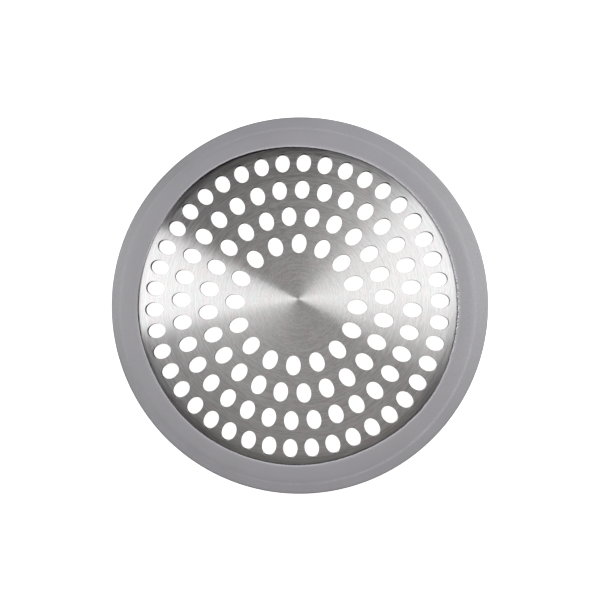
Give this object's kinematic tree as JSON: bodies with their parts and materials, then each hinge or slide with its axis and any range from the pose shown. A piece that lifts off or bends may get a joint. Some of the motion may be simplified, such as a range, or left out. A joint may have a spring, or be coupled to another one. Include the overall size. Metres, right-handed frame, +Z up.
{
  "type": "bathtub hair catcher",
  "caption": "Shallow domed strainer of perforated brushed stainless steel in a soft grey silicone rim, laid loose over a bathtub drain to catch hair while water runs through.",
  "frame": {"origin": "on the vertical axis of the round part, on the plane that the underside of the rim rests on", "axes": "+Z up through the top of the dome; +Y through a hole of the first, third and fourth rows, which is a mirror line of the hole pattern"},
  "size_m": [0.127, 0.127, 0.0127],
  "materials": {
    "strainer_steel": "circularly brushed stainless steel, satin",
    "rim_silicone": "matte moulded silicone rubber"
  },
  "bodies": {
    "root": {"strainer_dome": "strainer_steel", "silicone_rim": "rim_silicone"}
  },
  "joints": []
}
